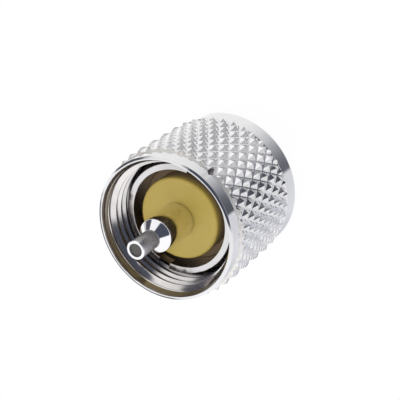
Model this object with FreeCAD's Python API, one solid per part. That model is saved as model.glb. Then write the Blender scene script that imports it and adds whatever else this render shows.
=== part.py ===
import FreeCAD, Part
import math
import os

os.makedirs("parts", exist_ok=True)

# A UHF cable plug. The axis is Z, the mating end points up and the rear end of
# the clamp nut stands on Z = 0. All lengths are in millimetres.

# Centre contact
CONTACT_R = 2.0
CONTACT_L = 5.28
CONTACT_EDGE = 0.08
CONE_L = 0.88
TIP_R = 1.1
TIP_L = 3.34
TIP_EDGE = 0.12
TIP_WALL = 0.34
TIP_RECESS_DEPTH = 0.35
STEM_R = 1.55
CUP_WALL = 0.93
CUP_DEPTH = 2.8
CUP_SETBACK = 0.3

# Insulator
STEM_CLEARANCE = 0.02
SPIGOT_WALL = 1.8
BOSS_R = 4.97
BOSS_H = 3.05
BOSS_RECESS = 0.17
BOSS_CHAMFER = 0.2
BODY_H = 3.8
INSULATOR_CLEARANCE = 0.03

# Shell: outer contact sleeve, flange, neck, web and cable chamber
SLEEVE_GAP = 1.02
SLEEVE_WALL = 0.79
SLEEVE_RECESS = 3.28
SLEEVE_EDGE = 0.08
SLOT_WIDTH = 1.5
SLOT_DEPTH = 1.1
SLOT_COUNT = 2
FLANGE_CLEARANCE = 0.12
FLANGE_T = 1.4
NECK_STEP = 0.43
NECK_SHOW = 1.3
WEB_T = 1.0
CHAMBER_WALL = 1.35

# Retaining ring that keeps the nut on the shell
RING_T = 0.6
RING_STAND = 0.75
RING_GROOVE_DEPTH = 0.45
RING_CLEARANCE = 0.04
RING_GAP_DEG = 40.0
RING_SETBACK = 1.17

# Coupling nut, inside: 5/8-24 thread, kept at its crest radius
SOCKET_GAP = 0.59
THREAD_DEPTH = 0.57
THREAD_LENGTH = 6.1
THREAD_LEAD_IN = 0.67
MOUTH_CLEARANCE = 0.1
MOUTH_DEPTH = 1.23
RELIEF_L = 1.8
LIP_L = 5.0
NECK_CLEARANCE = 0.06
RING_RECESS_CLEARANCE = 0.4
END_FLOAT = 0.2

# Coupling nut, outside
FRONT_BAND_WALL = 0.61
FRONT_BAND_L = 1.84
REAR_BAND_STEP = 0.25
REAR_BAND_L = 2.5
RIM_BREAK = 0.2
REAR_CHAMFER = 0.25

# Diamond knurl of the coupling nut
KNURL_STAND = 0.25
KNURL_DEPTH = 0.36
KNURL_STARTS = 40
KNURL_AXIAL_PITCH = 2.58
KNURL_PHASE_DEG = 2.15
KNURL_SETBACK = 0.33
KNURL_LEAD_IN = 0.55

# Cable clamp set
CABLE_BORE_R = 2.6
STACK_CLEARANCE = 0.15
CLAMP_FLANGE_T = 0.7
CLAMP_CONE_H = 0.7
CLAMP_CONE_WALL = 0.6
GASKET_H = 2.0
WASHER_T = 0.6
CLAMP_NUT_CLEARANCE = 0.07
CLAMP_HEAD_STEP = 0.85
CLAMP_HEAD_H = 2.3
CLAMP_FACE_STEP = 0.1
CLAMP_CHAMFER_SLOPE = 2.0

# How far a cutting body reaches past the face that it cuts
OVERCUT = 1.0

# Radii that follow, from the axis outwards
tip_recess_r = TIP_R - TIP_WALL
cup_bore_r = STEM_R - CUP_WALL
spigot_r = STEM_R + SPIGOT_WALL
sleeve_bore_r = BOSS_R + SLEEVE_GAP
sleeve_r = sleeve_bore_r + SLEEVE_WALL
thread_crest_r = sleeve_r + SOCKET_GAP
thread_root_r = thread_crest_r + THREAD_DEPTH
mouth_r = thread_root_r + MOUTH_CLEARANCE
front_band_r = mouth_r + FRONT_BAND_WALL
rear_band_r = front_band_r + REAR_BAND_STEP
knurl_tip_r = rear_band_r + KNURL_STAND
knurl_valley_r = knurl_tip_r - KNURL_DEPTH

flange_r = thread_crest_r - FLANGE_CLEARANCE
neck_r = sleeve_r - NECK_STEP
lip_r = neck_r + NECK_CLEARANCE
groove_r = neck_r - RING_GROOVE_DEPTH
ring_r = neck_r + RING_STAND
ring_recess_r = ring_r + RING_RECESS_CLEARANCE
chamber_r = neck_r - CHAMBER_WALL
stack_r = chamber_r - STACK_CLEARANCE
clamp_cone_r = CABLE_BORE_R + CLAMP_CONE_WALL
clamp_flat_r = neck_r - CLAMP_HEAD_STEP
clamp_face_r = clamp_flat_r - CLAMP_FACE_STEP

# Heights that follow, from the rear end up
nut_bottom = CLAMP_HEAD_H + NECK_SHOW
ring_bottom = nut_bottom + RING_SETBACK
ring_top = ring_bottom + RING_T
lip_bottom = ring_top + END_FLOAT
nut_shoulder = lip_bottom + LIP_L
thread_bottom = nut_shoulder + RELIEF_L
thread_top = thread_bottom + THREAD_LENGTH
nut_top = thread_top + MOUTH_DEPTH
knurl_bottom = nut_bottom + REAR_BAND_L
knurl_top = nut_top - FRONT_BAND_L

shell_bottom = CLAMP_HEAD_H
flange_bottom = nut_shoulder + END_FLOAT
flange_top = flange_bottom + FLANGE_T
sleeve_top = nut_top - SLEEVE_RECESS
boss_top = sleeve_top - BOSS_RECESS
insulator_shoulder = boss_top - BOSS_H
web_top = insulator_shoulder - BODY_H
web_bottom = web_top - WEB_T
cup_bottom = web_bottom + CUP_SETBACK

barrel_top = boss_top + CONTACT_L
cone_top = barrel_top + CONE_L
tip_top = cone_top + TIP_L

gasket_top = web_bottom - CLAMP_FLANGE_T
gasket_bottom = gasket_top - GASKET_H
washer_bottom = gasket_bottom - WASHER_T

AXIS = FreeCAD.Vector(0, 0, 1)
ORIGIN = FreeCAD.Vector(0, 0, 0)


def turned(points):
    """A solid of revolution about the axis from (radius, height) corners."""
    corners = [FreeCAD.Vector(r, 0, z) for r, z in points]
    face = Part.Face(Part.makePolygon(corners + corners[:1]))
    return face.revolve(ORIGIN, AXIS, 360)


def disc(radius, bottom, top):
    """A solid cylinder on the axis."""
    return Part.makeCylinder(radius, top - bottom, FreeCAD.Vector(0, 0, bottom))


def on_cylinder(radius, angle, height):
    """A point given by its radius, angle in radians and height."""
    return FreeCAD.Vector(radius * math.cos(angle), radius * math.sin(angle), height)


def triangle(a, b, c):
    return Part.Face(Part.makePolygon([a, b, c, a]))


def knurl_core():
    """A closed body whose wall is a field of four-sided pyramids.

    Grooves of both hands cross at the valley points, and each diamond between
    four crossings rises to one tip. Peaks and valleys share every level, half
    an axial pitch apart, and swap places from one level to the next. The field
    starts a little below the knurl and is trimmed to it afterwards.
    """
    step = math.pi / KNURL_STARTS
    rise = KNURL_AXIAL_PITCH / 2
    phase = math.radians(KNURL_PHASE_DEG)
    field_bottom = knurl_bottom - KNURL_SETBACK
    levels = math.ceil((knurl_top - field_bottom) / rise) + 1

    def point(level, place):
        is_peak = (level + place) % 2 == 1
        radius = knurl_tip_r if is_peak else knurl_valley_r
        return on_cylinder(radius, phase + place * step, field_bottom + level * rise)

    faces = []
    for level in range(levels + 1):
        for place in range(2 * KNURL_STARTS):
            if (level + place) % 2 == 0:
                continue
            peak = point(level, place)
            left = point(level, place - 1)
            right = point(level, place + 1)
            if level < levels:
                above = point(level + 1, place)
                faces += [triangle(peak, right, above), triangle(peak, above, left)]
            if level > 0:
                below = point(level - 1, place)
                faces += [triangle(peak, left, below), triangle(peak, below, right)]
    for level in (0, levels):
        ends = [point(level, place) for place in range(2 * KNURL_STARTS)]
        faces.append(Part.Face(Part.makePolygon(ends + ends[:1])))
    return Part.makeSolid(Part.makeShell(faces))


def coupling_nut():
    """The knurled nut: two turned bands, the knurl between them and the bore."""
    lead_in_r = knurl_tip_r - KNURL_LEAD_IN
    knurl_blank = turned([
        (0, knurl_bottom),
        (knurl_tip_r + KNURL_DEPTH, knurl_bottom),
        (knurl_tip_r + KNURL_DEPTH, knurl_top - KNURL_LEAD_IN - KNURL_DEPTH),
        (lead_in_r, knurl_top),
        (0, knurl_top),
    ])
    knurled = knurl_core().common(knurl_blank)
    front_band = turned([
        (0, knurl_top),
        (front_band_r, knurl_top),
        (front_band_r, nut_top - RIM_BREAK),
        (front_band_r - RIM_BREAK, nut_top),
        (0, nut_top),
    ])
    rear_band = turned([
        (0, nut_bottom),
        (rear_band_r - REAR_CHAMFER, nut_bottom),
        (rear_band_r, nut_bottom + REAR_CHAMFER),
        (rear_band_r, knurl_bottom),
        (0, knurl_bottom),
    ])
    bore = turned([
        (0, nut_bottom - OVERCUT),
        (ring_recess_r, nut_bottom - OVERCUT),
        (ring_recess_r, lip_bottom),
        (lip_r, lip_bottom),
        (lip_r, nut_shoulder),
        (thread_root_r, nut_shoulder),
        (thread_root_r, thread_bottom),
        (thread_crest_r, thread_bottom + thread_root_r - thread_crest_r),
        (thread_crest_r, thread_top - THREAD_LEAD_IN),
        (mouth_r, thread_top),
        (mouth_r, nut_top + OVERCUT),
        (0, nut_top + OVERCUT),
    ])
    return knurled.fuse([front_band, rear_band]).cut(bore)


def shell():
    """The one-piece turned shell with its slotted outer contact sleeve."""
    outside = turned([
        (0, shell_bottom),
        (neck_r, shell_bottom),
        (neck_r, flange_bottom),
        (flange_r, flange_bottom),
        (flange_r, flange_top),
        (sleeve_r, flange_top),
        (sleeve_r, sleeve_top - SLEEVE_EDGE),
        (sleeve_r - SLEEVE_EDGE, sleeve_top),
        (0, sleeve_top),
    ])
    groove = disc(neck_r + OVERCUT, ring_bottom - RING_CLEARANCE, ring_top + RING_CLEARANCE)
    groove = groove.cut(disc(groove_r, ring_bottom - OVERCUT, ring_top + OVERCUT))
    chamber = disc(chamber_r, shell_bottom - OVERCUT, web_bottom)
    web_hole = disc(spigot_r + INSULATOR_CLEARANCE, web_bottom - OVERCUT, web_top + OVERCUT)
    sleeve_bore = disc(sleeve_bore_r, web_top, sleeve_top + OVERCUT)
    slots = []
    for index in range(SLOT_COUNT):
        slot = Part.makeBox(
            sleeve_r, SLOT_WIDTH, SLOT_DEPTH + OVERCUT,
            FreeCAD.Vector(sleeve_bore_r - SLEEVE_GAP, -SLOT_WIDTH / 2, sleeve_top - SLOT_DEPTH))
        slot.rotate(ORIGIN, AXIS, 360.0 / SLOT_COUNT * index)
        slots.append(slot)
    return outside.cut([groove, chamber, web_hole, sleeve_bore] + slots)


def retaining_ring():
    """The split ring in the shell's groove, behind the nut's lip."""
    ring = disc(ring_r, ring_bottom, ring_top)
    ring = ring.cut(disc(groove_r + RING_CLEARANCE, ring_bottom - OVERCUT, ring_top + OVERCUT))
    half_gap = math.radians(RING_GAP_DEG / 2)
    reach = 2 * ring_r
    wedge = Part.Face(Part.makePolygon([
        on_cylinder(0, 0, ring_bottom - OVERCUT),
        on_cylinder(reach, math.pi / 2 - half_gap, ring_bottom - OVERCUT),
        on_cylinder(reach, math.pi / 2 + half_gap, ring_bottom - OVERCUT),
        on_cylinder(0, 0, ring_bottom - OVERCUT),
    ])).extrude(AXIS * (RING_T + 2 * OVERCUT))
    return ring.cut(wedge)


def insulator():
    """The moulded insulator: front boss with an eased edge, body and spigot."""
    body_r = sleeve_bore_r - INSULATOR_CLEARANCE
    blank = turned([
        (0, web_bottom),
        (spigot_r, web_bottom),
        (spigot_r, web_top),
        (body_r, web_top),
        (body_r, insulator_shoulder),
        (BOSS_R, insulator_shoulder),
        (BOSS_R, boss_top - BOSS_CHAMFER),
        (BOSS_R - BOSS_CHAMFER, boss_top),
        (0, boss_top),
    ])
    return blank.cut(disc(STEM_R + STEM_CLEARANCE, web_bottom - OVERCUT, boss_top + OVERCUT))


def centre_contact():
    """The contact: solder cup, stem, thick barrel, cone and slim tip."""
    blank = turned([
        (0, cup_bottom),
        (STEM_R, cup_bottom),
        (STEM_R, boss_top),
        (CONTACT_R - CONTACT_EDGE, boss_top),
        (CONTACT_R, boss_top + CONTACT_EDGE),
        (CONTACT_R, barrel_top),
        (TIP_R, cone_top),
        (TIP_R, tip_top - TIP_EDGE),
        (TIP_R - TIP_EDGE, tip_top),
        (0, tip_top),
    ])
    cup = disc(cup_bore_r, cup_bottom - OVERCUT, cup_bottom + CUP_DEPTH)
    recess = disc(tip_recess_r, tip_top - TIP_RECESS_DEPTH, tip_top + OVERCUT)
    return blank.cut([cup, recess])


def braid_clamp():
    """The flanged ring that spreads the cable's braid against the web."""
    return turned([
        (CABLE_BORE_R, gasket_top - CLAMP_CONE_H),
        (clamp_cone_r, gasket_top),
        (stack_r, gasket_top),
        (stack_r, web_bottom),
        (CABLE_BORE_R, web_bottom),
    ])


def cable_gasket():
    """The rubber ring, whose mouth takes the cone of the braid clamp."""
    return turned([
        (CABLE_BORE_R, gasket_bottom),
        (stack_r, gasket_bottom),
        (stack_r, gasket_top),
        (clamp_cone_r, gasket_top),
        (CABLE_BORE_R, gasket_top - CLAMP_CONE_H),
    ])


def clamp_washer():
    """The flat washer between the gasket and the clamp nut."""
    ring = disc(stack_r, washer_bottom, gasket_bottom)
    return ring.cut(disc(CABLE_BORE_R, washer_bottom - OVERCUT, gasket_bottom + OVERCUT))


def clamp_nut():
    """The hexagon-headed nut that closes the rear end on the cable."""
    corner_r = clamp_flat_r / math.cos(math.pi / 6)
    corners = [on_cylinder(corner_r, math.pi / 3 * k, 0) for k in range(7)]
    head = Part.Face(Part.makePolygon(corners)).extrude(AXIS * CLAMP_HEAD_H)
    head = head.common(turned([
        (0, 0),
        (clamp_face_r, 0),
        (clamp_face_r + CLAMP_CHAMFER_SLOPE * CLAMP_HEAD_H, CLAMP_HEAD_H),
        (0, CLAMP_HEAD_H),
    ]))
    shank = disc(chamber_r - CLAMP_NUT_CLEARANCE, CLAMP_HEAD_H, washer_bottom)
    hole = disc(CABLE_BORE_R, -OVERCUT, washer_bottom + OVERCUT)
    return head.fuse(shank).cut(hole)


PIECES = {
    "coupling_nut": coupling_nut,
    "shell": shell,
    "retaining_ring": retaining_ring,
    "insulator": insulator,
    "centre_contact": centre_contact,
    "braid_clamp": braid_clamp,
    "cable_gasket": cable_gasket,
    "clamp_washer": clamp_washer,
    "clamp_nut": clamp_nut,
}

for name, make in PIECES.items():
    solid = make()
    print(name, "valid", solid.isValid(), "solids", len(solid.Solids), "volume", round(solid.Volume, 2))
    solid.exportStep("parts/" + name + ".step")
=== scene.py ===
import logging
import math
from dataclasses import dataclass, field
from enum import Enum
from typing import Callable

import bmesh
import bpy
from mathutils import Matrix, Vector, noise


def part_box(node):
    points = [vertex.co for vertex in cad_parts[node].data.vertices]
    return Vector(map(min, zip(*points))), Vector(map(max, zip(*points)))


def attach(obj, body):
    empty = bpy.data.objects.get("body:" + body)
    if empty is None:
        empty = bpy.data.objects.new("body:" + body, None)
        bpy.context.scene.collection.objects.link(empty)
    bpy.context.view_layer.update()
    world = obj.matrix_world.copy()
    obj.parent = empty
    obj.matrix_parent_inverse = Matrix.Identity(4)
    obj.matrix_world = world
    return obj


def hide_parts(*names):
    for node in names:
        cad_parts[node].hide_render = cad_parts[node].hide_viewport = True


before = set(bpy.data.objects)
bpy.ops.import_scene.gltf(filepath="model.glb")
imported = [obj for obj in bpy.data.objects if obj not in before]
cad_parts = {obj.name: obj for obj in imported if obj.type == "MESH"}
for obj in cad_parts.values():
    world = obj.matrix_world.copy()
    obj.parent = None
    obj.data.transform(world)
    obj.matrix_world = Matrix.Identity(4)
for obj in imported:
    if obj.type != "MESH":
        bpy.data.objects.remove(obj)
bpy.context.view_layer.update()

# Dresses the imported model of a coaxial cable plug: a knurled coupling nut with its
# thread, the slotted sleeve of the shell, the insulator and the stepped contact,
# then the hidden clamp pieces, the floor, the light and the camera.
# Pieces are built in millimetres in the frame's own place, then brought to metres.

logging.basicConfig(level=logging.INFO, format="%(levelname)s %(message)s")
LOG = logging.getLogger("plug")

MM = 0.001
FULL_TURN = 2 * math.pi
UP = Vector((0, 0, 1))
PHOTO_WIDTH = 400
SMOOTH_ANGLE = 32.0
# How bright the painted shade deep in the nut's thread is, as a share of the finish's colour
DEEP_SHARE = 0.25

Point = tuple[float, float]
Colour = tuple[float, float, float]
Direction = tuple[float, float, float]
Socket = bpy.types.NodeSocket
Given = bpy.types.NodeOutputs
Made = bpy.types.NodeInputs
BMesh = bmesh.types.BMesh


class Body(Enum):
    """The rigid bodies of the frame."""

    PLUG = "plug_body"
    NUT = "coupling_nut"


class Node(Enum):
    """The solids of the frame."""

    NUT = "coupling_nut"
    SHELL = "shell"
    RING = "retaining_ring"
    INSULATOR = "insulator"
    CONTACT = "centre_contact"
    BRAID_CLAMP = "braid_clamp"
    GASKET = "cable_gasket"
    WASHER = "clamp_washer"
    CLAMP_NUT = "clamp_nut"


@dataclass(frozen=True)
class Extent:
    """The room that one solid of the frame takes about the axis, in millimetres."""

    bottom: float
    top: float
    radius: float

    @classmethod
    def of(cls, node: Node) -> "Extent":
        """Reads the room of a solid from the frame."""
        low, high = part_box(node.value)
        return cls(low.z / MM, high.z / MM, max(high.x, high.y) / MM)


# Modelling helpers


def everything(bm: BMesh) -> list:
    """Returns all vertices, edges and faces of a mesh, as operators take them."""
    return bm.verts[:] + bm.edges[:] + bm.faces[:]


def outwards(angle: float) -> Vector:
    """Returns the direction away from the axis at an angle in radians."""
    return Vector((math.cos(angle), math.sin(angle), 0))


def radius_of(vert: bmesh.types.BMVert) -> float:
    """Returns a vertex's distance from the axis."""
    return math.hypot(vert.co.x, vert.co.y)


def set_radius(vert: bmesh.types.BMVert, radius: float) -> None:
    """Moves a vertex level to a given distance from the axis."""
    share = radius / radius_of(vert)
    vert.co.xy *= share


def cut_by_plane(bm: BMesh, place: Vector, normal: Vector, clear: bool = True) -> None:
    """Cuts a whole mesh by a plane and, if asked, clears what lies beyond it."""
    bmesh.ops.bisect_plane(
        bm, geom=everything(bm), dist=1e-5, plane_co=place, plane_no=normal, clear_outer=clear)


def open_ring(bm: BMesh, height: float) -> list:
    """Finds the open border that lies at one height.

    Args:
        bm: the mesh.
        height: the border's height.

    Returns:
        The border's edges.
    """
    tolerance = 1e-3
    return [
        e for e in bm.edges
        if e.is_boundary and all(abs(v.co.z - height) < tolerance for v in e.verts)
    ]


def extrude_rings(bm: BMesh, ring: list, points: list[Point]) -> list:
    """Draws a wall of revolution out of an open ring, one ring for each point.

    Args:
        bm: the mesh.
        ring: the edges of the ring to start from.
        points: (radius, height) of each new ring.

    Returns:
        The edges of the last ring.
    """
    for radius, height in points:
        made = bmesh.ops.extrude_edge_only(bm, edges=ring)["geom"]
        verts = {g for g in made if isinstance(g, bmesh.types.BMVert)}
        for vert in verts:
            set_radius(vert, radius)
            vert.co.z = height
        ring = [
            g for g in made
            if isinstance(g, bmesh.types.BMEdge) and all(v in verts for v in g.verts)
        ]
    return ring


def soften(bm: BMesh, corners: list[Point], width: float, segments: int = 2) -> None:
    """Rounds the circular edges that run through some corners of a turned profile.

    Args:
        bm: the mesh.
        corners: (radius, height) of each edge to round.
        width: how far the rounding reaches from the edge.
        segments: faces across the rounding.
    """
    near = 0.004
    edges = [
        e for e in bm.edges
        for radius, height in corners
        if all(
            abs(v.co.z - height) < near and abs(radius_of(v) - radius) < near
            for v in e.verts
        )
    ]
    bmesh.ops.bevel(
        bm, geom=edges, offset=width, segments=segments, profile=0.5, affect="EDGES",
        clamp_overlap=True, material=-1)


def supported(points: list[Point], soft: list[Point], away: float) -> list[Point]:
    """Adds a corner on both sides of each soft one, so the walls between stay true.

    Args:
        points: (radius, height) corners of a profile.
        soft: the corners that will be rounded.
        away: distance of the added corners from the soft ones.

    Returns:
        The longer profile.
    """
    longer = []
    for before, point, after in zip(points[-1:] + points, points, points[1:] + points[:1]):
        beside = []
        for other in (before, after):
            share = away / math.dist(point, other)
            if point in soft and share < 0.5:
                beside.append(tuple(p + (o - p) * share for p, o in zip(point, other)))
            else:
                beside.append(None)
        longer += [p for p in (beside[0], point, beside[1]) if p]
    return longer


def turned(
    points: list[Point], steps: int, soft: list[Point] | None = None, width: float = 0.0
) -> BMesh:
    """Turns a profile about the axis into a closed body.

    Args:
        points: (radius, height) corners; the profile closes on itself, or on the
            axis where its first and last corner lie there.
        steps: faces round the body.
        soft: the corners whose edges are rounded.
        width: how far a rounding reaches from its edge.

    Returns:
        The body as a new mesh.
    """
    on_axis = points[0][0] == 0 and points[-1][0] == 0
    if soft:
        points = supported(points, soft, 2 * width)
    bm = bmesh.new()
    verts = [bm.verts.new((radius, 0, height)) for radius, height in points]
    pairs = zip(verts, verts[1:] if on_axis else verts[1:] + verts[:1])
    edges = [bm.edges.new(pair) for pair in pairs]
    bmesh.ops.spin(
        bm, geom=verts + edges, axis=UP, angle=FULL_TURN, steps=steps, use_merge=True)
    bmesh.ops.remove_doubles(bm, verts=bm.verts, dist=1e-5)
    if soft:
        soften(bm, soft, width)
    return bm


def nick(bm: BMesh, corners: list[Point], reach: float, depth: float, scale: float) -> None:
    """Dents an edge here and there, as handling and burrs do.

    Args:
        bm: the mesh.
        corners: (radius, height) of the edges.
        reach: how far from an edge its dents fade out.
        depth: the deepest dent.
        scale: how many dents there are in a millimetre, about.
    """
    for vert in bm.verts:
        for radius, height in corners:
            away = math.hypot(radius_of(vert) - radius, vert.co.z - height)
            if away < reach:
                coarse, fine = noise.noise(vert.co * scale), noise.noise(vert.co * scale * 2.7)
                wave = coarse * 0.7 + fine * 0.3
                vert.co.z -= max(0.0, wave) * depth * (1 - away / reach)


def new_mesh(name: str, bm: BMesh) -> bpy.types.Mesh:
    """Makes a mesh of a bmesh, which is freed.

    Args:
        name: the mesh's name.
        bm: the bmesh.

    Returns:
        The mesh.
    """
    mesh = bpy.data.meshes.new(name)
    bm.to_mesh(mesh)
    bm.free()
    return mesh


def new_object(name: str, data: bpy.types.ID) -> bpy.types.Object:
    """Makes an object of the scene.

    Args:
        name: the object's name.
        data: its mesh, light or camera.

    Returns:
        The object.
    """
    obj = bpy.data.objects.new(name, data)
    bpy.context.scene.collection.objects.link(obj)
    return obj


# Shader helpers


@dataclass
class Graph:
    """A node tree that is being drawn."""

    tree: bpy.types.NodeTree

    def put(self, target: Socket, value: object) -> None:
        """Links an output to an input, or sets the input.

        Args:
            target: the input.
            value: an output, a number, a vector or a colour.
        """
        if isinstance(value, Socket):
            self.tree.links.new(value, target)
        else:
            target.default_value = (*value, 1) if target.type == "RGBA" else value

    def add(self, kind: str, **values: object) -> bpy.types.Node:
        """Adds a node.

        Args:
            kind: the node's type, without the word ShaderNode.
            values: the node's properties, then what goes into its inputs.

        Returns:
            The node.
        """
        node = self.tree.nodes.new("ShaderNode" + kind)
        for key, value in values.items():
            if hasattr(node, key):
                setattr(node, key, value)
            else:
                self.put(node.inputs[key.replace("_", " ")], value)
        return node

    def maths(self, operation: str, *terms: object) -> Socket:
        """Adds a calculation.

        Args:
            operation: the calculation's name.
            terms: numbers or outputs.

        Returns:
            The result's output.
        """
        node = self.add("Math", operation=operation)
        for target, term in zip(node.inputs, terms):
            self.put(target, term)
        return node.outputs[0]

    def spread(
        self, value: Socket, low: float, high: float, to_low: float = 0.0, to_high: float = 1.0
    ) -> Socket:
        """Maps a value softly from one range to another, held at both ends.

        Args:
            value: the output to map.
            low: the start of its range.
            high: the end of its range.
            to_low: what the start becomes.
            to_high: what the end becomes.

        Returns:
            The mapped output.
        """
        return self.add(
            "MapRange", interpolation_type="SMOOTHSTEP", Value=value, From_Min=low,
            From_Max=high, To_Min=to_low, To_Max=to_high).outputs["Result"]

    def blend(self, share: Socket, first: object, second: object) -> Socket:
        """Mixes two colours.

        Args:
            share: the output that says how much of the second shows.
            first: a colour or an output.
            second: a colour or an output.

        Returns:
            The mixed colour's output.
        """
        node = self.add("Mix", data_type="RGBA")
        for place, term in ((0, share), (6, first), (7, second)):
            self.put(node.inputs[place], term)
        return node.outputs[2]

    def ramp(self, value: Socket, stops: list[tuple[float, Colour]]) -> Socket:
        """Turns a value into a colour by a row of stops.

        Args:
            value: the output to colour, from 0 to 1.
            stops: place and colour of each stop.

        Returns:
            The colour's output.
        """
        node = self.add("ValToRGB")
        elements = node.color_ramp.elements
        while len(elements) < len(stops):
            elements.new(0.5)
        for element, (place, colour) in zip(elements, stops):
            element.position = place
            element.color = (*colour, 1)
        self.put(node.inputs[0], value)
        return node.outputs[0]

    def relief(self, height: Socket, depth: float) -> Socket:
        """Returns the normal of a fine relief of a given depth in metres."""
        return self.add("Bump", Strength=1.0, Distance=depth, Height=height).outputs[0]

    def place(self) -> Socket:
        """Returns where a point lies on the object, in metres."""
        return self.add("TexCoord").outputs["Object"]

    def height_share(self, ends: Point) -> Socket:
        """Returns how far a point stands between two heights in metres, from 0 to 1."""
        height = self.add("SeparateXYZ", Vector=self.place()).outputs["Z"]
        return self.spread(height, *ends)

    def show(self, kind: str, others: Socket, seen: Socket, share: float = 1.0) -> None:
        """Ends the graph in a shader for the camera's own rays and one for all others.

        Args:
            kind: the type of the output node.
            others: the shader that all other rays meet.
            seen: the shader that the camera sees.
            share: how much of it the camera sees.
        """
        direct = self.add("LightPath").outputs["Is Camera Ray"]
        mixed = self.add("MixShader")
        direct = self.maths("MULTIPLY", direct, share)
        for target, value in zip(mixed.inputs, (direct, others, seen)):
            self.put(target, value)
        self.add(kind, Surface=mixed.outputs[0])


def empty_graph(owner: bpy.types.Material | bpy.types.World) -> Graph:
    """Switches on the nodes of a material or a world and clears them.

    Args:
        owner: the material or the world.

    Returns:
        Its empty graph.
    """
    owner.use_nodes = True
    owner.node_tree.nodes.clear()
    return Graph(owner.node_tree)


def shader_group(
    name: str, inputs: dict[str, float], outputs: list[str],
    draw: Callable[[Graph, Given, Made], None],
) -> bpy.types.NodeTree:
    """Makes a shader node group.

    Args:
        name: the group's name.
        inputs: its number inputs with their default values.
        outputs: its number outputs.
        draw: a function that draws its nodes, between what is given and what is made.

    Returns:
        The group.
    """
    tree = bpy.data.node_groups.new(name, "ShaderNodeTree")
    tree.interface.new_socket("Vector", in_out="INPUT", socket_type="NodeSocketVector")
    for key, value in inputs.items():
        socket = tree.interface.new_socket(key, in_out="INPUT", socket_type="NodeSocketFloat")
        socket.default_value = value
    for key in outputs:
        tree.interface.new_socket(key, in_out="OUTPUT", socket_type="NodeSocketFloat")
    entry = tree.nodes.new("NodeGroupInput")
    leave = tree.nodes.new("NodeGroupOutput")
    draw(Graph(tree), entry.outputs, leave.inputs)
    return tree


def draw_turned_grain(graph: Graph, given: Given, made: Made) -> None:
    """Draws fine tool lines that run round the axis.

    Args:
        graph: the group's graph.
        given: what the group is given.
        made: what the group makes.
    """
    parts = graph.add("SeparateXYZ", Vector=given["Vector"]).outputs
    square = graph.maths("MULTIPLY", parts["X"], parts["X"])
    radius = graph.maths("SQRT", graph.maths("MULTIPLY_ADD", parts["Y"], parts["Y"], square))
    vector = graph.add(
        "CombineXYZ", X=graph.maths("MULTIPLY", radius, given["Lines"]),
        Y=graph.maths("MULTIPLY", parts["Z"], given["Lines"]),
        Z=graph.maths("MULTIPLY", parts["X"], given["Streaks"]))
    lines = graph.add(
        "TexNoise", noise_dimensions="4D", Vector=vector.outputs[0],
        W=graph.maths("MULTIPLY", parts["Y"], given["Streaks"]), Scale=1.0, Detail=2.0)
    graph.put(made["Height"], lines.outputs[0])


def draw_handling(graph: Graph, given: Given, made: Made) -> None:
    """Draws faint smudges and a few short scratches.

    Args:
        graph: the group's graph.
        given: what the group is given.
        made: what the group makes.
    """
    cloud = graph.add(
        "TexNoise", Vector=given["Vector"], Scale=given["Smudges"], Detail=3.0,
        Roughness=0.6).outputs[0]
    graph.put(made["Smudge"], graph.spread(cloud, 0.42, 0.68))
    bent = graph.add(
        "Mapping", Vector=given["Vector"], Rotation=(0.4, 0.9, 0.3), Scale=(1.0, 3.2, 0.6))
    cells = graph.add(
        "TexVoronoi", feature="DISTANCE_TO_EDGE", Vector=bent.outputs[0],
        Scale=given["Scratches"], Randomness=1.0)
    thin = graph.spread(cells.outputs["Distance"], 0.0, 0.02, 1.0, 0.0)
    graph.put(made["Scratch"], graph.maths("MULTIPLY", thin, graph.spread(cloud, 0.55, 0.7)))


def draw_specks(graph: Graph, given: Given, made: Made) -> None:
    """Draws small scattered specks of dust and a fine moulded skin.

    Args:
        graph: the group's graph.
        given: what the group is given.
        made: what the group makes.
    """
    cells = graph.add(
        "TexVoronoi", feature="F1", Vector=given["Vector"], Scale=given["Scale"],
        Randomness=1.0).outputs
    dots = graph.spread(cells["Distance"], 0.06, 0.16, 1.0, 0.0)
    chosen = graph.add("SeparateColor", Color=cells["Color"])
    some = graph.spread(chosen.outputs[0], 0.8, 0.86)
    graph.put(made["Specks"], graph.maths("MULTIPLY", dots, some))
    skin = graph.add(
        "TexNoise", Vector=given["Vector"], Scale=given["Scale"], Detail=4.0, Roughness=0.65)
    graph.put(made["Skin"], skin.outputs[0])


@dataclass
class Workshop:
    """The shader groups that the finishes share."""

    grain: bpy.types.NodeTree = field(default_factory=lambda: shader_group(
        "turned_grain", {"Lines": 9000.0, "Streaks": 300.0}, ["Height"], draw_turned_grain))
    handling: bpy.types.NodeTree = field(default_factory=lambda: shader_group(
        "handling_marks", {"Smudges": 160.0, "Scratches": 220.0}, ["Smudge", "Scratch"],
        draw_handling))
    specks: bpy.types.NodeTree = field(default_factory=lambda: shader_group(
        "specks_and_skin", {"Scale": 1500.0}, ["Specks", "Skin"], draw_specks))

    def place(self, graph: Graph, tree: bpy.types.NodeTree, **values: float) -> Given:
        """Places a group in a material and returns what it makes from the object's place."""
        return graph.add("Group", node_tree=tree, Vector=graph.place(), **values).outputs


@dataclass(frozen=True)
class Finish:
    """What a metal and a moulded finish have in common."""

    name: str

    def draw(self, graph: Graph, shop: Workshop) -> dict[str, object]:
        """Draws what goes into each input of the shader; each kind has its own way."""
        raise NotImplementedError

    def make(self, shop: Workshop) -> bpy.types.Material:
        """Makes the material.

        Args:
            shop: the shared shader groups.

        Returns:
            The material.
        """
        material = bpy.data.materials.new(self.name)
        material.use_nodes = True
        shader = material.node_tree.nodes["Principled BSDF"]
        graph = Graph(material.node_tree)
        for key, value in self.draw(graph, shop).items():
            graph.put(shader.inputs[key], value)
        return material


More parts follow.
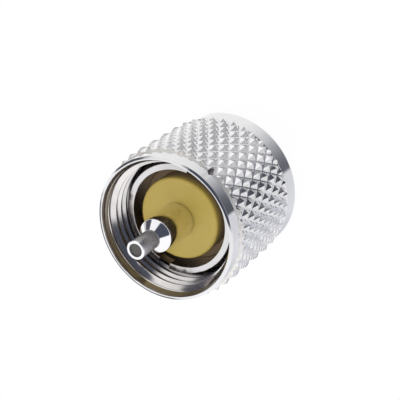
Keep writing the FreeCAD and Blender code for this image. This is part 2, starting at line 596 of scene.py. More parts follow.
@dataclass(frozen=True)
class MetalFinish(Finish):
    """A plated or bare metal."""

    colour: Colour  # its clean colour
    dull: Colour  # its colour where it is smudged
    smooth: float  # roughness where clean
    rough: float  # roughness where smudged
    lines: float = 9000.0  # tool lines in a metre, over the surface
    depth: float = 2e-7  # height of the tool lines in metres
    streaks: float = 300.0  # how quickly a tool line changes round the axis
    smudges: float = 160.0  # how many smudges there are in a metre
    crumple: float = 0.0  # height of the smudges, as a share of the tool lines'
    # Heights, in metres, where its painted shade is full, DEEP_SHARE as bright, and where it ends
    fade: Point | None = None

    def draw(self, graph: Graph, shop: Workshop) -> dict[str, object]:
        """Draws the metal.

        Args:
            graph: the material's graph.
            shop: the shared shader groups.

        Returns:
            What goes into each input of the shader.
        """
        marks = shop.place(graph, shop.handling, Smudges=self.smudges)
        smudge = marks["Smudge"]
        grain = shop.place(graph, shop.grain, Lines=self.lines, Streaks=self.streaks)["Height"]
        base = graph.blend(smudge, self.colour, self.dull)
        # Painted shade: the colour darkens towards the lower of the fade heights
        if self.fade:
            painted_shade = tuple(DEEP_SHARE * part for part in self.colour)
            base = graph.blend(graph.height_share(self.fade), painted_shade, base)
        line = graph.spread(grain, 0.3, 0.7)
        share = graph.maths("MULTIPLY_ADD", line, 0.5, graph.maths("MULTIPLY", smudge, 0.5))
        height = graph.maths("MULTIPLY_ADD", marks["Scratch"], -0.6, grain)
        if self.crumple:
            height = graph.maths("MULTIPLY_ADD", smudge, self.crumple, height)
        return {
            "Base Color": base,
            "Metallic": 1.0,
            "Roughness": graph.spread(share, 0.0, 1.0, self.smooth, self.rough),
            "Normal": graph.relief(height, self.depth),
        }


@dataclass(frozen=True)
class MouldedFinish(Finish):
    """A moulded plastic or rubber."""

    colour: Colour
    shade: Colour  # its colour in the darker patches
    speck: Colour  # the colour of its specks
    smooth: float  # roughness of its glossiest patches
    rough: float  # roughness of its dullest patches
    scale: float = 1500.0  # how many specks there are in a metre
    depth: float = 4e-6  # height of its skin in metres
    painted_shade: Colour = (0.0, 0.0, 0.0)  # its painted shade, deep in its gap
    fade: Point | None = None  # heights, in metres, where its painted shade is full and where it ends

    def draw(self, graph: Graph, shop: Workshop) -> dict[str, object]:
        """Draws the plastic.

        Args:
            graph: the material's graph.
            shop: the shared shader groups.

        Returns:
            What goes into each input of the shader.
        """
        skin = shop.place(graph, shop.specks, Scale=self.scale)
        smudge = shop.place(graph, shop.handling)["Smudge"]
        base = graph.blend(smudge, self.colour, self.shade)
        # Painted shade: the colour turns to its painted shade towards the lower of the fade heights
        if self.fade:
            base = graph.blend(graph.height_share(self.fade), self.painted_shade, base)
        return {
            "Base Color": graph.blend(skin["Specks"], base, self.speck),
            "Roughness": graph.spread(skin["Skin"], 0.3, 0.7, self.smooth, self.rough),
            "Normal": graph.relief(skin["Skin"], self.depth),
        }


BRIGHT_NICKEL = MetalFinish(
    "bright_nickel", (0.80, 0.80, 0.81), (0.73, 0.725, 0.73), 0.05, 0.12, depth=1.5e-7)
TORN_NICKEL = MetalFinish(
    "torn_nickel", (0.86, 0.85, 0.85), (0.76, 0.75, 0.74), 0.5, 0.65, lines=3000.0,
    depth=6e-6, smudges=5000.0, crumple=1.0)
CHAMFER_NICKEL = MetalFinish(
    "chamfer_nickel", (0.88, 0.865, 0.84), (0.78, 0.75, 0.71), 0.5, 0.65, depth=2e-6,
    smudges=3000.0, crumple=1.0)
# The nut's mouth and thread, darker towards the thread's far end as painted shade
MOUTH_NICKEL = MetalFinish(
    "mouth_nickel", (0.79, 0.76, 0.75), (0.66, 0.635, 0.62), 0.12, 0.24, lines=2600.0,
    depth=2.5e-6, streaks=140.0, fade=(0.0142, 0.0166))
# Darker and browner than the outer nickel: painted shade with a painted brown reflection
SHADED_WALL_NICKEL = MetalFinish(
    "shaded_wall_nickel", (0.64, 0.59, 0.54), (0.54, 0.49, 0.44), 0.3, 0.38, depth=4e-7)
# A dark copy of the nickel: painted shade in the dent and on the thread's deep and down-facing
# flanks
PAINTED_SHADE_NICKEL = MetalFinish(
    "painted_shade_nickel", (0.30, 0.27, 0.275), (0.22, 0.195, 0.20), 0.3, 0.4, depth=4e-7)
# Dark brown nickel of the slots' floors: painted shade with a painted brown reflection
SLOT_SHADE_NICKEL = MetalFinish(
    "slot_shade_nickel", (0.28, 0.2, 0.1), (0.22, 0.155, 0.08), 0.5, 0.65, depth=2e-6)
TURNED_NICKEL = MetalFinish(
    "turned_nickel", (0.68, 0.67, 0.67), (0.58, 0.565, 0.555), 0.1, 0.22, depth=5e-7)
SATIN_NICKEL = MetalFinish(
    "satin_nickel", (0.74, 0.73, 0.72), (0.62, 0.61, 0.6), 0.16, 0.34, depth=4e-7)
SPRING_STEEL = MetalFinish(
    "spring_steel", (0.5, 0.5, 0.51), (0.4, 0.39, 0.38), 0.25, 0.42)
TURNED_BRASS = MetalFinish(
    "turned_brass", (0.75, 0.58, 0.3), (0.6, 0.44, 0.2), 0.18, 0.36)
POLISHED_PLATE = MetalFinish(
    "polished_plate", (0.93, 0.93, 0.945), (0.88, 0.88, 0.9), 0.03, 0.06, depth=1e-7)
CONTACT_PLATE = MetalFinish(
    "contact_plate", (0.84, 0.81, 0.80), (0.72, 0.69, 0.67), 0.1, 0.18, lines=5000.0,
    depth=2e-7, smudges=900.0)
# Dull plating painted dark grey: painted shade in the tip's recess
RECESS_PLATE = MetalFinish(
    "recess_plate", (0.29, 0.275, 0.265), (0.25, 0.24, 0.23), 0.8, 0.9)
TIP_PLATE = MetalFinish(
    "tip_plate", (0.52, 0.52, 0.545), (0.48, 0.475, 0.49), 0.26, 0.34)
# Near black: a painted shadow in the crevice round the barrel's foot
FOOT_SHADOW_PLATE = MetalFinish(
    "foot_shadow_plate", (0.05, 0.03, 0.02), (0.04, 0.025, 0.015), 0.4, 0.6)
# The ochre turns to a painted shade down the boss's side and round its edge
OCHRE_PLASTIC = MouldedFinish(
    "ochre_plastic", (0.468, 0.35, 0.08), (0.438, 0.325, 0.072), (0.3, 0.22, 0.08), 0.42, 0.55,
    painted_shade=(0.18, 0.125, 0.07), fade=(0.015, 0.0162))
BLACK_RUBBER = MouldedFinish(
    "black_rubber", (0.03, 0.03, 0.03), (0.022, 0.022, 0.022), (0.06, 0.06, 0.06), 0.6, 0.8)


@dataclass
class Piece:
    """One finished piece: its name, what it rides on and what it stands for."""

    name: str
    body: Body  # the body of the frame that it moves with
    node: Node  # the solid of the frame that it stands for
    slot: str  # the record's material slot
    shop: Workshop
    smooth_angle: float = SMOOTH_ANGLE  # edges sharper than this many degrees stay crisp

    def finish(
        self, bm: BMesh, finishes: list[Finish],
        choose: Callable[[Vector, Vector], Finish] | None = None,
    ) -> bpy.types.Object:
        """Brings a mesh to metres, dresses it and seats it on the frame.

        Args:
            bm: the piece in millimetres; it is freed.
            finishes: what it wears, the main finish first.
            choose: picks a face's finish by its middle, in millimetres, and its normal.

        Returns:
            The finished object.
        """
        bmesh.ops.recalc_face_normals(bm, faces=bm.faces)
        bmesh.ops.scale(bm, vec=Vector((MM, MM, MM)), verts=bm.verts)
        mesh = new_mesh(self.name, bm)
        obj = new_object(self.name, mesh)
        mesh.shade_smooth()
        mesh.set_sharp_from_angle(angle=math.radians(self.smooth_angle))
        for finish in finishes:
            mesh.materials.append(finish.make(self.shop))
        if choose:
            places = {finish.name: place for place, finish in enumerate(finishes)}
            for face in mesh.polygons:
                face.material_index = places[choose(face.center / MM, face.normal).name]
        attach(obj, self.body.value)
        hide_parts(self.node.value)
        mesh.calc_loop_triangles()
        LOG.info("%s: %d triangles", self.name, len(mesh.loop_triangles))
        return obj


@dataclass
class CouplingNut:
    """The knurled nut, with its two bands, its mouth and its thread.

    Lengths are in millimetres, angles in degrees, and a name in _r is a radius.
    """

    room: Extent
    shop: Workshop
    starts: int = 40  # grooves of each hand round the knurl
    axial_pitch: float = 2.58  # distance between tips along the axis
    phase: float = 2.15  # angle of the first row of tips, in degrees
    setback: float = 0.33  # how far the pattern starts below the knurl's rear end
    depth: float = 0.36  # height of a tip over its grooves
    groove_flat: float = 0.13  # share of the pattern that the flat groove bottoms take
    front_band: float = 1.84
    rear_band: float = 2.5
    front_r: float = 8.65
    rear_r: float = 8.9
    lead_in: float = 0.55  # how deep the cone in front trims the knurl
    core_r: float = 8.4
    tip_wear: float = 0.04  # width of the worn ridges
    seam: float = 0.19  # where the repeated part of the knurl starts, as a share of a start
    mouth_r: float = 8.04  # radius of the mouth's inner end
    mouth_flare: float = 0.2  # how much wider it is at the rim
    mouth_depth: float = 0.98
    crest_r: float = 7.37
    root_r: float = 7.94
    deep_r: float = 7.74  # radius from which its flanks are painted dark as shade
    thread_length: float = 6.1
    pitch: float = 25.4 / 24
    relief: float = 1.8
    lip_r: float = 6.41  # radius of the lip that holds the shell's flange
    lip_length: float = 5.0
    ring_recess_r: float = 7.5  # radius of the recess round the split ring
    rear_chamfer: float = 0.25
    rim_break: Point = (0.28, 0.14)  # width and height of the rim's outer bevel
    dent_angle: float = -16.5
    dent_reach: float = 0.42
    dent_squat: float = 1.7  # how many times wider than high it is
    steps: int = 240
    thread_steps: int = 144
    thread_phase: float = -39.0

    def knurl_ends(self) -> Point:
        """Returns the heights where the knurl starts and ends."""
        return self.room.bottom + self.rear_band, self.room.top - self.front_band

    def knurl_cells(self) -> BMesh:
        """Sets a few columns of pyramids side by side and wraps them on the nut.

        Returns:
            Six columns of pyramids, a little longer than the knurl.
        """
        bm = bmesh.new()
        low, high = self.knurl_ends()
        rise = self.axial_pitch / 2
        levels = math.ceil((high - low) / rise) + 1
        for place in range(-1, 5):
            for level in range(-1, levels + 2):
                if (level + place) % 2 == 1:
                    bmesh.ops.create_circle(
                        bm, cap_ends=True, segments=4, radius=1.0,
                        matrix=Matrix.Translation((place, level, 0)))
        bmesh.ops.remove_doubles(bm, verts=bm.verts, dist=1e-4)
        cells = list(bm.faces)
        bmesh.ops.inset_individual(
            bm, faces=cells, thickness=self.groove_flat * math.sqrt(0.5), use_even_offset=True)
        bmesh.ops.poke(bm, faces=cells, offset=1.0)
        ridges = [e for e in bm.edges if max(v.co.z for v in e.verts) > 0.5]
        valley = self.room.radius - self.depth
        step = math.pi / self.starts
        for vert in bm.verts:
            across, along, proud = vert.co
            angle = math.radians(self.phase) + across * step
            radius = valley + proud * self.depth
            height = low - self.setback + along * rise
            vert.co = (radius * math.cos(angle), radius * math.sin(angle), height)
        bmesh.ops.bevel(
            bm, geom=ridges, offset=self.tip_wear, segments=2, profile=0.5, affect="EDGES",
            material=-1)
        return bm

    def press_to_cone(self, bm: BMesh, faces: list, angle: float) -> None:
        """Trims part of the knurl by the lead-in cone, taken flat over a half start.

        Args:
            bm: the mesh.
            faces: the faces of that half start.
            angle: the angle of its middle, in radians.
        """
        top = self.knurl_ends()[1]
        outward = outwards(angle)
        normal = (outward + UP).normalized()
        foot = outward * (self.room.radius - self.lead_in) + UP * top
        parts = set(faces)
        for face in faces:
            parts.update(face.edges)
            parts.update(face.verts)
        cut = bmesh.ops.bisect_plane(
            bm, geom=list(parts), dist=1e-5, plane_co=foot, plane_no=normal)
        verts = {v for g in cut["geom"] if isinstance(g, bmesh.types.BMFace) for v in g.verts}
        for vert in verts:
            proud = (vert.co - foot).dot(normal)
            if proud > 1e-5:
                radial = Vector((vert.co.x, vert.co.y, 0)).normalized()
                vert.co -= radial * (proud / normal.dot(radial))

    def knurl(self) -> BMesh:
        """Cuts one start out of the cells, trims it and repeats it round the nut.

        Returns:
            The whole knurl, closed by a plain wall under the bands.
        """
        bm = self.knurl_cells()
        low, high = self.knurl_ends()
        start = FULL_TURN / self.starts
        first = math.radians(self.phase) + self.seam * start
        for angle, side in ((first, -1), (first + start, 1)):
            cut_by_plane(bm, Vector(), outwards(angle + math.pi / 2) * side)
        for height, side in ((low, -1), (high, 1)):
            cut_by_plane(bm, UP * height, UP * side)
        middle = first + start / 2
        normal = outwards(middle + math.pi / 2)
        cut_by_plane(bm, Vector(), normal, clear=False)
        for side in (-1, 1):
            half = [
                f for f in bm.faces
                if f.calc_center_median().dot(normal) * side > 0
                and f.calc_center_median().z > high - 4 * self.lead_in
            ]
            self.press_to_cone(bm, half, middle + side * start / 4)
        bmesh.ops.spin(
            bm, geom=everything(bm), axis=UP, angle=FULL_TURN - start,
            steps=self.starts - 1, use_duplicate=True)
        bmesh.ops.remove_doubles(bm, verts=bm.verts, dist=1e-4)
        sunk = 0.05
        foot_r = self.core_r - sunk
        front = extrude_rings(bm, open_ring(bm, high), [(foot_r, high)])
        rear = extrude_rings(bm, open_ring(bm, low), [(foot_r, low)])
        bmesh.ops.bridge_loops(bm, edges=front + rear)
        return bm

    def walls(self) -> BMesh:
        """Turns the bands, the core under the knurl, the rim and the inside.

        Returns:
            The turned body.
        """
        low, high = self.knurl_ends()
        bottom, top = self.room.bottom, self.room.top
        mouth_end = top - self.mouth_depth
        shoulder = mouth_end - self.thread_length - self.relief
        lip_end = shoulder - self.lip_length
        rim_r = self.mouth_r + self.mouth_flare
        undercut = 0.02
        run_out = self.rear_r - self.core_r
        profile = [
            (self.core_r, low + run_out), (self.core_r, high + undercut),
            (self.front_r, high + undercut), (self.front_r, top - self.rim_break[1]),
            (self.front_r - self.rim_break[0], top), (rim_r, top), (self.mouth_r, mouth_end),
            (self.root_r, mouth_end - self.mouth_r + self.root_r), (self.root_r, shoulder),
            (self.lip_r, shoulder), (self.lip_r, lip_end), (self.ring_recess_r, lip_end),
            (self.ring_recess_r, bottom), (self.rear_r - self.rear_chamfer, bottom),
            (self.rear_r, bottom + self.rear_chamfer), (self.rear_r, low),
        ]
        soft = profile[2:5] + profile[10:]
        bm = turned(profile, self.steps, soft, width=0.04)
        soften(bm, [(rim_r, top)], width=0.07)
        soften(bm, [(self.mouth_r, mouth_end)], width=0.04)
        return bm

    def thread(self) -> BMesh:
        """Winds the ridge of the thread, trimmed by a cone at both ends.

        Returns:
            The ridge, whose foot is sunk in the nut's wall.
        """
        top = self.room.top - self.mouth_depth
        bottom = top - self.thread_length
        sunk = 0.08
        foot_r = self.root_r + sunk
        crest = self.pitch / 8
        slope = math.tan(math.radians(30))
        half_foot = crest / 2 + (foot_r - self.crest_r) * slope
        half_deep = crest / 2 + (self.deep_r - self.crest_r) * slope
        turns = (self.thread_length + 2 * half_foot) / self.pitch
        steps = math.ceil(self.thread_steps * turns)
        bm = bmesh.new()
        side = [(self.crest_r, crest / 2), (self.deep_r, half_deep), (foot_r, half_foot)]
        corners = [(r, -z) for r, z in reversed(side)] + side
        face = bm.faces.new([bm.verts.new((r, 0, bottom - half_foot + z)) for r, z in corners])
        bmesh.ops.rotate(
            bm, verts=bm.verts, matrix=Matrix.Rotation(math.radians(self.thread_phase), 3, "Z"))
        bmesh.ops.spin(
            bm, geom=[face], axis=UP, dvec=(0, 0, turns * self.pitch / steps),
            angle=FULL_TURN * turns, steps=steps)
        for vert in bm.verts:
            limit = max(self.mouth_r - (top - vert.co.z), self.root_r - (vert.co.z - bottom))
            if radius_of(vert) < limit:
                set_radius(vert, min(limit, foot_r))
        return bm

    def dent_share(self, place: Vector) -> float:
        """Returns how deep in the dent of the knurl's front edge a place lies.

        Args:
            place: the place, in millimetres.

        Returns:
            1 in the dent's middle, 0 at its edge and less outside.
        """
        offset = place - outwards(math.radians(self.dent_angle)) * self.front_r
        offset.z = self.dent_squat * (place.z - self.knurl_ends()[1] + self.dent_reach / 4)
        return 1 - offset.length / self.dent_reach

    def dent(self, bm: BMesh) -> None:
        """Presses a small dent into the knurl's front edge.

        Args:
            bm: the mesh.
        """
        for vert in bm.verts:
            near = self.dent_share(vert.co)
            if near > 0:
                set_radius(vert, radius_of(vert) - near * self.dent_reach)

    def finish_of(self, centre: Vector, normal: Vector) -> MetalFinish:
        """Chooses a face's finish.

        Args:
            centre: the face's middle, in millimetres.
            normal: its normal.

        Returns:
            The finish.
        """
        low, high = self.knurl_ends()
        mouth_end = self.room.top - self.mouth_depth
        radius = math.hypot(centre.x, centre.y)
        # The dent is painted dark as shade
        if self.dent_share(centre) > 0:
            return PAINTED_SHADE_NICKEL
        # The mouth's wall gets the nickel with painted shade
        if centre.z > mouth_end and radius < self.mouth_r + self.mouth_flare:
            return SHADED_WALL_NICKEL
        if radius < self.mouth_r:
            threaded = centre.z < mouth_end - self.mouth_r + self.crest_r
            # Painted shade on the flanks that face down and on the deep flanks
            in_painted_shade = normal.z < 0.3 or threaded and radius > self.deep_r
            return PAINTED_SHADE_NICKEL if in_painted_shade else MOUTH_NICKEL
        if radius < self.core_r or not low < centre.z < high:
            return BRIGHT_NICKEL
        if centre.z > high - 2 * self.lead_in and normal.z > 0.6:
            return CHAMFER_NICKEL
        sideways = (normal.y * centre.x - normal.x * centre.y) / radius
        return TORN_NICKEL if sideways < -0.2 and normal.z > 0.15 else BRIGHT_NICKEL

    def build(self) -> None:
        """Builds and dresses the nut."""
        bm = self.walls()
        rim = [self.front_r - self.rim_break[0], self.mouth_r + self.mouth_flare]
        corners = [(radius, self.room.top) for radius in rim]
        nick(bm, corners, reach=0.2, depth=0.03, scale=1.3)
        for part in (self.knurl(), self.thread()):
            mesh = new_mesh("part_of_nut", part)
            bm.from_mesh(mesh)
            bpy.data.meshes.remove(mesh)
        self.dent(bm)
        piece = Piece("knurled_nut", Body.NUT, Node.NUT, "nickel_nut", self.shop, smooth_angle=24.0)
        piece.finish(bm, [
            BRIGHT_NICKEL, TORN_NICKEL, CHAMFER_NICKEL, MOUTH_NICKEL, SHADED_WALL_NICKEL, PAINTED_SHADE_NICKEL,
        ], self.finish_of)


@dataclass
class Shell:
    """The shell: the slotted sleeve in front, the flange, the neck and the chamber."""

    room: Extent
    shop: Workshop
    sleeve_r: float = 6.78
    bore_r: float = 5.99
    flange: Point = (10.77, 12.17)  # heights of the flange's faces
    neck_r: float = 6.35  # radius of the neck that the nut turns on
    groove_r: float = 5.9
    groove: Point = (4.73, 5.41)  # heights of the groove's walls
    web: Point = (8.4, 9.4)  # heights of the web's faces
    web_hole_r: float = 3.38
    chamber_r: float = 5.0
    edge: float = 0.08  # width of the sleeve's chamfered edge
    slot_width: float = 1.5
    slot_depth: float = 1.1
    steps: int = 240

    def cut_slots(self, obj: bpy.types.Object) -> None:
        """Cuts the two slots across the sleeve's end.

        Args:
            obj: the shell.
        """
        bm = bmesh.new()
        reach = self.sleeve_r + 1
        bmesh.ops.create_cube(bm, size=1.0, matrix=Matrix.LocRotScale(
            Vector((0, 0, self.room.top)) * MM, None,
            Vector((2 * reach, self.slot_width, 2 * self.slot_depth)) * MM))
        cutter = new_object("slot_cutter", new_mesh("slot_cutter", bm))
        cut = obj.modifiers.new("slots", "BOOLEAN")
        cut.object = cutter
        cut.solver = "EXACT"
        graph = bpy.context.evaluated_depsgraph_get()
        done = bpy.data.meshes.new_from_object(obj.evaluated_get(graph))
        obj.modifiers.clear()
        obj.data = done
        bpy.data.objects.remove(cutter)
        done.set_sharp_from_angle(angle=math.radians(SMOOTH_ANGLE))
        # The slots' floors get the dark brown nickel: painted shade
        floor = self.room.top - self.slot_depth
        for face in done.polygons:
            if abs(face.center.z / MM - floor) < 0.01 and abs(face.normal.z) > 0.9:
                face.material_index = [m.name for m in done.materials].index(SLOT_SHADE_NICKEL.name)

    def build(self) -> None:
        """Builds and dresses the shell."""
        bottom, top = self.room.bottom, self.room.top
        edge = self.edge
        crown = [(self.sleeve_r, top - edge), (self.sleeve_r - edge, top)]
        bm = turned([
            (self.chamber_r, bottom), (self.neck_r, bottom),
            (self.neck_r, self.groove[0]), (self.groove_r, self.groove[0]),
            (self.groove_r, self.groove[1]), (self.neck_r, self.groove[1]),
            (self.neck_r, self.flange[0]), (self.room.radius, self.flange[0]),
            (self.room.radius, self.flange[1]), (self.sleeve_r, self.flange[1]),
            *crown, (self.bore_r + edge / 2, top), (self.bore_r, top - edge / 2),
            (self.bore_r, self.web[1]), (self.web_hole_r, self.web[1]),
            (self.web_hole_r, self.web[0]), (self.chamber_r, self.web[0]),
        ], self.steps, crown, width=0.03)
        corners = [(self.sleeve_r - edge, top), (self.bore_r + edge, top)]
        nick(bm, corners, reach=0.18, depth=0.05, scale=1.7)
        piece = Piece("sleeve_and_shell", Body.PLUG, Node.SHELL, "nickel_shell", self.shop)
        self.cut_slots(piece.finish(bm, [TURNED_NICKEL, SLOT_SHADE_NICKEL]))


@dataclass
class Insulator:
    """The moulded insulator with its rounded front boss."""

    room: Extent
    shop: Workshop
    boss_r: float = 4.97
    boss_height: float = 3.05  # its height over the shoulder
    spigot_r: float = 3.35
    spigot_length: float = 1.0
    hole_r: float = 1.57
    rounding: float = 0.3  # radius of the boss's edge
    steps: int = 200

    def build(self) -> None:
        """Builds and dresses the insulator."""
        bottom, top = self.room.bottom, self.room.top
        web_top = bottom + self.spigot_length
        shoulder = top - self.boss_height
        bm = turned([
            (self.hole_r, bottom), (self.spigot_r, bottom), (self.spigot_r, web_top),
            (self.room.radius, web_top), (self.room.radius, shoulder),
            (self.boss_r, shoulder), (self.boss_r, top), (self.hole_r, top),
        ], self.steps)
        soften(bm, [(self.boss_r, top)], self.rounding, segments=5)
        piece = Piece("moulded_insulator", Body.PLUG, Node.INSULATOR, "insulator", self.shop)
        piece.finish(bm, [OCHRE_PLASTIC])


@dataclass
class CentreContact:
    """The stepped contact: cup, stem, barrel, polished cone and hollow-ended tip."""

    room: Extent
    shop: Workshop
    foot: float  # height of the barrel's foot, on the insulator's face
    barrel_length: float = 5.28
    cone_length: float = 0.88
    tip_r: float = 1.1
    recess_r: float = 0.79
    recess_depth: float = 0.2
    stem_r: float = 1.55  # radius of the stem in the insulator
    cup_r: float = 0.62  # radius of the solder cup's hole
    cup_depth: float = 2.8
    foot_break: float = 0.22  # width of the gap round the barrel's foot
    steps: int = 160

    def cone_ends(self) -> Point:
        """Returns the heights where the cone starts and ends."""
        start = self.foot + self.barrel_length
        return start, start + self.cone_length

    def finish_of(self, centre: Vector, _: Vector) -> MetalFinish:
        """Chooses a face's finish.

        Args:
            centre: the face's middle, in millimetres.

        Returns:
            The finish.
        """
        height, top = centre.z, self.room.top
        barrel_top, cone_top = self.cone_ends()
        if barrel_top - 0.03 < height < cone_top or height > top - 0.1:
            return POLISHED_PLATE
        # The recess's floor is painted dark grey as shade
        if abs(height - top + self.recess_depth) < 0.01:
            return RECESS_PLATE
        # A near-black band round the barrel's foot: painted shadow
        if abs(height - self.foot) < self.foot_break:
            return FOOT_SHADOW_PLATE
        return TIP_PLATE if height > cone_top else CONTACT_PLATE

    def build(self) -> None:
        """Builds and dresses the contact."""
        bottom, top = self.room.bottom, self.room.top
        barrel_r = self.room.radius
        barrel_top, cone_top = self.cone_ends()
        bm = turned(supported([
            (0, bottom + self.cup_depth), (self.cup_r, bottom + self.cup_depth),
            (self.cup_r, bottom), (self.stem_r, bottom), (self.stem_r, self.foot),
            (barrel_r - self.foot_break, self.foot - 0.02),
            (barrel_r - self.foot_break, self.foot + self.foot_break),
            (barrel_r, self.foot + self.foot_break),
            (barrel_r, barrel_top), (self.tip_r, cone_top), (self.tip_r, top),
            (self.recess_r, top), (self.recess_r - 0.03, top - self.recess_depth),
            (0, top - self.recess_depth),
        ], [(barrel_r, barrel_top)], away=0.12), self.steps)
        soften(bm, [(barrel_r, barrel_top)], width=0.04)
        soften(bm, [(self.tip_r, top)], width=0.07, segments=3)
        soften(bm, [(self.recess_r, top)], width=0.04)
        piece = Piece("stepped_contact", Body.PLUG, Node.CONTACT, "contact_plating", self.shop)
        finishes = [CONTACT_PLATE, POLISHED_PLATE, RECESS_PLATE, FOOT_SHADOW_PLATE, TIP_PLATE]
        piece.finish(bm, finishes, self.finish_of)


@dataclass
class ClampSet:
    """The hidden pieces behind the shell, whose solids are kept as they are."""

    shop: Workshop
    # The finish of each solid
    finishes: dict[Node, Finish] = field(default_factory=lambda: {
        Node.RING: SPRING_STEEL,
        Node.BRAID_CLAMP: TURNED_BRASS,
        Node.GASKET: BLACK_RUBBER,
        Node.WASHER: TURNED_BRASS,
        Node.CLAMP_NUT: SATIN_NICKEL,
    })

    def dress(self) -> None:
        """Gives each solid its finish."""
        made: dict[str, bpy.types.Material] = {}
        for node, finish in self.finishes.items():
            if finish.name not in made:
                made[finish.name] = finish.make(self.shop)
            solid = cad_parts[node.value]
            for slot in solid.material_slots:
                slot.material = made[finish.name]
            LOG.info("%s: dressed in %s", node.value, finish.name)


# The walls and the table of the room: (lean to the photo's right, level, tint)
FAR_WALL = (
    (-1, 1.0, 0), (-0.1, 1.0, 0), (0.11, 0.83, 0.02), (0.27, 0.62, 0.04), (0.41, 0.36, 0.1),
    (0.51, 0.17, 0.2), (0.6, 0.09, 0.3), (1, 0.09, 0.3))
MIDDLE_WALL = (
    (-1, 1.16, 0), (-0.02, 1.16, 0), (0.09, 0.92, 0), (0.15, 0.42, 0.12), (0.22, 0.1, 0.3),
    (0.5, 0.08, 0.3), (0.62, 0.15, 0.2), (0.7, 0.35, 0.12), (0.78, 0.68, 0.1), (1, 0.74, 0.1))
NEAR_WALL = (
    (-1, 0.55, 0), (-0.92, 0.42, 0), (-0.82, 0.16, 0.1), (-0.75, 0.3, 0), (-0.66, 1.0, 0),
    (1, 1.0, 0))
TABLE = (
    (-1, 1.1, 0), (-0.5, 1.1, 0), (-0.35, 0.95, 0), (-0.15, 0.67, 0.08), (0.02, 0.71, 0.08),
    (0.2, 0.86, 0.07), (0.4, 0.91, 0.06), (0.58, 0.81, 0.06), (0.8, 0.95, 0.04), (1, 0.95, 0.04))
BRIGHT_TABLE = (1.1, 1.1, 1.12)


@dataclass(frozen=True)
class Patch:
    """A dark patch of the room, as metal mirrors it."""

    towards: Direction  # how far its middle leans to the photo's top, its right and along the axis
    edge: Point  # the lean towards it where it starts and where it is full
    colour: Colour


PATCH_BELOW = Patch((-0.47, -0.60, -0.64), (0.966, 0.984), (0.16, 0.17, 0.19))
PATCH_ASIDE = Patch((-0.66, -0.75, 0.0), (0.84, 0.9), (0.12, 0.13, 0.15))
PATCH_BESIDE = Patch((0.36, -0.86, 0.37), (0.93, 0.965), (0.09, 0.09, 0.11))


@dataclass
class Room:
    """The room that the metal mirrors, drawn on the directions from the plug."""

    graph: Graph
    table_up: float  # azimuth of the photo's upward direction, from +X, in degrees
    up: Vector = field(init=False)
    side: Vector = field(init=False)
    height: Socket = field(init=False)  # how far a direction leans along the axis
    sideways: Socket = field(init=False)  # and to the photo's right, from 0 to 1

    def __post_init__(self) -> None:
        """Works out the directions of the photo's top and right."""
        turn = math.radians(self.table_up)
        self.up = outwards(turn)
        self.side = outwards(turn - math.pi / 2)
        self.height = self.lean(UP)
        self.sideways = self.graph.maths("MULTIPLY_ADD", self.lean(self.side), 0.5, 0.5)

    def lean(self, axis: Vector) -> Socket:
        """Returns how far a direction leans along an axis.

        Args:
            axis: the axis.

        Returns:
            The cosine of the angle between them.
        """
        node = self.graph.add("VectorMath", operation="DOT_PRODUCT")
        node.inputs[1].default_value = axis
        self.graph.put(node.inputs[0], self.graph.add("TexCoord").outputs["Generated"])
        return node.outputs["Value"]

    def row(self, stops: tuple[tuple[float, float, float], ...]) -> Socket:
        """Draws a wall or the table along the photo's width.

        Args:
            stops: lean, level and tint of each stop.

        Returns:
            Its colour.
        """
        return self.graph.ramp(self.sideways, [
            ((lean + 1) / 2, (level, level * (1 + tint / 6), level * (1 + tint)))
            for lean, level, tint in stops
        ])

    def rise(self, low: float, high: float, first: object, second: object) -> Socket:
        """Goes over from one colour to another between two heights of the direction."""
        return self.graph.blend(self.graph.spread(self.height, low, high), first, second)

    def darken(self, base: Socket, patch: Patch, share: Socket | None = None) -> Socket:
        """Lays a dark patch over a colour.

        Args:
            base: the colour.
            patch: the patch.
            share: how strongly it shows, if not everywhere the same.

        Returns:
            The colour with the patch.
        """
        up, side, along = patch.towards
        shown = self.graph.spread(
            self.lean(self.up * up + self.side * side + UP * along), *patch.edge)
        if share:
            shown = self.graph.maths("MULTIPLY", shown, share)
        return self.graph.blend(shown, base, patch.colour)

    def colour(self) -> Socket:
        """Returns the room's colour, but for the side that the camera stands on."""
        behind = self.rise(-0.65, -0.52, self.row(FAR_WALL), self.row(MIDDLE_WALL))
        above = self.rise(-0.25, 0.1, behind, self.row(NEAR_WALL))
        above = self.darken(above, PATCH_BESIDE)
        table = self.rise(-0.76, -0.6, self.row(TABLE), BRIGHT_TABLE)
        table = self.darken(table, PATCH_BELOW)
        level = self.graph.spread(self.graph.maths("ABSOLUTE", self.height), 0.16, 0.28, 1.0, 0.0)
        table = self.darken(table, PATCH_ASIDE, level)
        over = self.graph.spread(self.lean(self.up), -0.01, 0.04)
        return self.graph.blend(over, table, above)


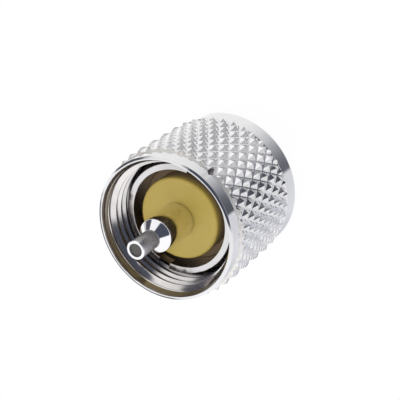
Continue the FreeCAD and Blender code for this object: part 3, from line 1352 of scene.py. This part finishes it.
@dataclass
class Studio:
    """The floor, the light and the camera."""

    rim_height: float  # height of the nut's rim, where the camera aims
    azimuth: float = 59.829
    elevation: float = 53.7145  # how high it looks down from, in degrees
    roll: float = -125.971  # how far it is turned about its line of sight, in degrees
    distance: float = 134.343  # distance of the rim along the line of sight
    focal: float = 1200.0  # focal length in pixels of the photo
    rim_pixel: Point = (163.655, 229.901)  # where the rim's centre stands in the photo
    sensor: float = 36.0
    clip: Point = (0.005, 20.0)  # nearest and farthest distance that it sees, in metres
    table_up: float = 17.8  # as in the room
    lamp_from: Direction = (0.42, -0.24, 0.875)  # the direction that the lamp shines from
    lamp_strength: float = 1.75
    lamp_spread: float = 24.0  # how wide it looks from the plug, in degrees
    floor_size: float = 3000.0
    floor_colour: Colour = (0.95, 0.95, 0.95)
    floor_white: float = 0.96  # how much of the floor the camera sees as plain white
    # The lean to the camera where the room's dark side starts and is full
    camera_edge: Point = (0.755, 0.84)
    camera_side: Colour = (0.07, 0.078, 0.108)  # the colour of that side

    def view(self) -> Vector:
        """Returns the direction from the plug to the camera."""
        turn, lift = math.radians(self.azimuth), math.radians(self.elevation)
        return outwards(turn - math.pi / 2) * math.cos(lift) + UP * math.sin(lift)

    def floor(self) -> None:
        """Lays a pale floor that keeps a faint shadow and stays out of reflections."""
        bm = bmesh.new()
        bmesh.ops.create_circle(bm, cap_ends=True, segments=96, radius=self.floor_size * MM)
        obj = new_object("floor", new_mesh("floor", bm))
        material = bpy.data.materials.new("pale_floor")
        graph = empty_graph(material)
        matte = graph.add("BsdfDiffuse", Color=self.floor_colour)
        light = graph.add("Emission", Strength=1.0)
        graph.show("OutputMaterial", matte.outputs[0], light.outputs[0], self.floor_white)
        obj.data.materials.append(material)
        obj.visible_glossy = False

    def surroundings(self) -> None:
        """Sets the room that the metal mirrors; the camera itself sees plain white."""
        world = bpy.data.worlds.new("studio")
        bpy.context.scene.world = world
        graph = empty_graph(world)
        room = Room(graph, self.table_up)
        colour = graph.blend(
            graph.spread(room.lean(self.view()), *self.camera_edge), room.colour(),
            self.camera_side)
        light = graph.add("Background", Color=colour)
        white = graph.add("Background", Color=(1, 1, 1))
        graph.show("OutputWorld", light.outputs[0], white.outputs[0])

    def lamp(self) -> None:
        """Hangs a lamp over the mouth that only dull surfaces show."""
        light = bpy.data.lights.new("lamp", "SUN")
        light.energy = self.lamp_strength
        light.angle = math.radians(self.lamp_spread)
        obj = new_object("lamp", light)
        obj.rotation_mode = "QUATERNION"
        obj.rotation_quaternion = Vector(self.lamp_from).to_track_quat("Z", "Y")
        obj.visible_glossy = False

    def camera(self) -> None:
        """Stands the camera where the photo was taken from, relative to the plug."""
        level = (-self.view()).to_track_quat("-Z", "Y")
        rotation = level.to_matrix() @ Matrix.Rotation(math.radians(self.roll), 3, "Z")
        half = PHOTO_WIDTH / 2
        offset = Vector((
            (self.rim_pixel[0] - half) / self.focal,
            (half - self.rim_pixel[1]) / self.focal,
            -1)) * self.distance
        data = bpy.data.cameras.new("camera")
        data.sensor_width = self.sensor
        data.lens = self.focal / PHOTO_WIDTH * self.sensor
        data.clip_start, data.clip_end = self.clip
        cam = new_object("camera", data)
        stand = UP * self.rim_height - rotation @ offset
        cam.matrix_world = Matrix.Translation(stand * MM) @ rotation.to_4x4()
        bpy.context.scene.camera = cam

    def build(self) -> None:
        """Sets up the studio."""
        self.floor()
        self.surroundings()
        self.lamp()
        self.camera()
        bpy.context.scene.view_settings.view_transform = "Standard"


def main() -> None:
    """Builds every piece in order."""
    shop = Workshop()
    nut = Extent.of(Node.NUT)
    insulator = Extent.of(Node.INSULATOR)
    CouplingNut(nut, shop).build()
    Shell(Extent.of(Node.SHELL), shop).build()
    Insulator(insulator, shop).build()
    CentreContact(Extent.of(Node.CONTACT), shop, insulator.top).build()
    ClampSet(shop).dress()
    Studio(nut.top).build()


if __name__ == "__main__":
    main()
